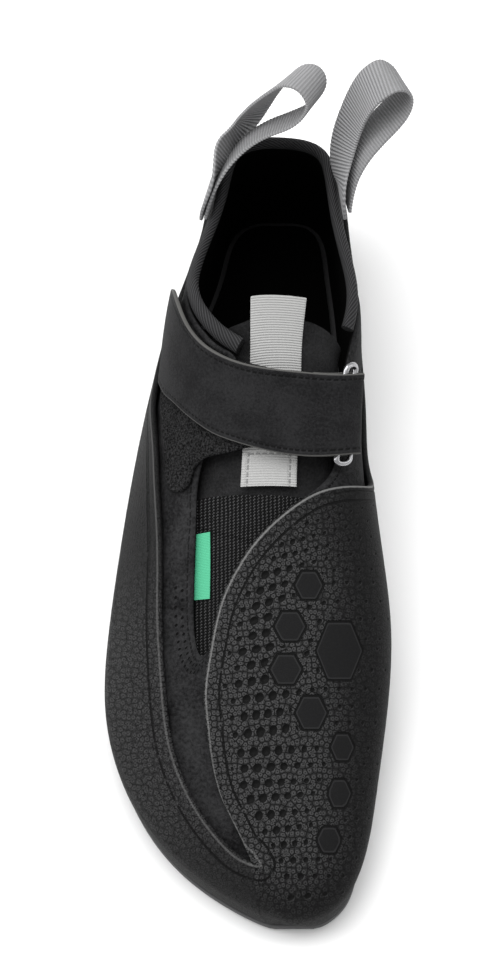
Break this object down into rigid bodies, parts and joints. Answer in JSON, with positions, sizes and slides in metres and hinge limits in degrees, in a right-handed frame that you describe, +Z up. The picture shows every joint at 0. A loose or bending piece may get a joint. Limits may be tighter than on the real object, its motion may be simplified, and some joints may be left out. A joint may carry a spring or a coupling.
{
  "type": "climbing shoe",
  "caption": "Black climbing shoe for the right foot with a rubber toe patch, a strap through a ring, and grey pull loops.",
  "frame": {"origin": "on the floor under the ball of the foot, at the flat of the forefoot", "axes": "+Y towards the heel, +X towards the big-toe side, +Z up from the floor"},
  "size_m": [0.0972, 0.2572, 0.107],
  "materials": {
    "upper_microfibre": "black microfibre with a soft matt nap",
    "rubber_patch": "charcoal rubber, matt, pebbled",
    "sole_rubber": "black smooth rubber",
    "insole_board": "black lining on a thin board",
    "collar_knit": "black twill-ribbed padded elastic",
    "tongue_lining": "black smooth padded fabric",
    "gusset_elastic": "black ribbed elastic",
    "label_weave": "plain green woven label",
    "tab_webbing": "light grey ribbed webbing",
    "loop_pile": "black loop pile",
    "strap_microfibre": "black microfibre with a light cut edge",
    "ring_wire": "satin steel wire",
    "loop_grosgrain_outer": "mid-grey ribbed grosgrain",
    "loop_grosgrain_inner": "mid-grey ribbed grosgrain"
  },
  "bodies": {
    "root": {"upper": "upper_microfibre", "rubber_rand": "rubber_patch", "outsole": "sole_rubber", "insole": "insole_board", "collar_binding": "collar_knit", "tongue": "tongue_lining", "gusset": "gusset_elastic", "label": "label_weave", "tongue_tab": "tab_webbing", "strap_base": "loop_pile", "strap": "strap_microfibre", "ring": "ring_wire", "pull_loop_outer": "loop_grosgrain_outer", "pull_loop_inner": "loop_grosgrain_inner"}
  },
  "joints": []
}
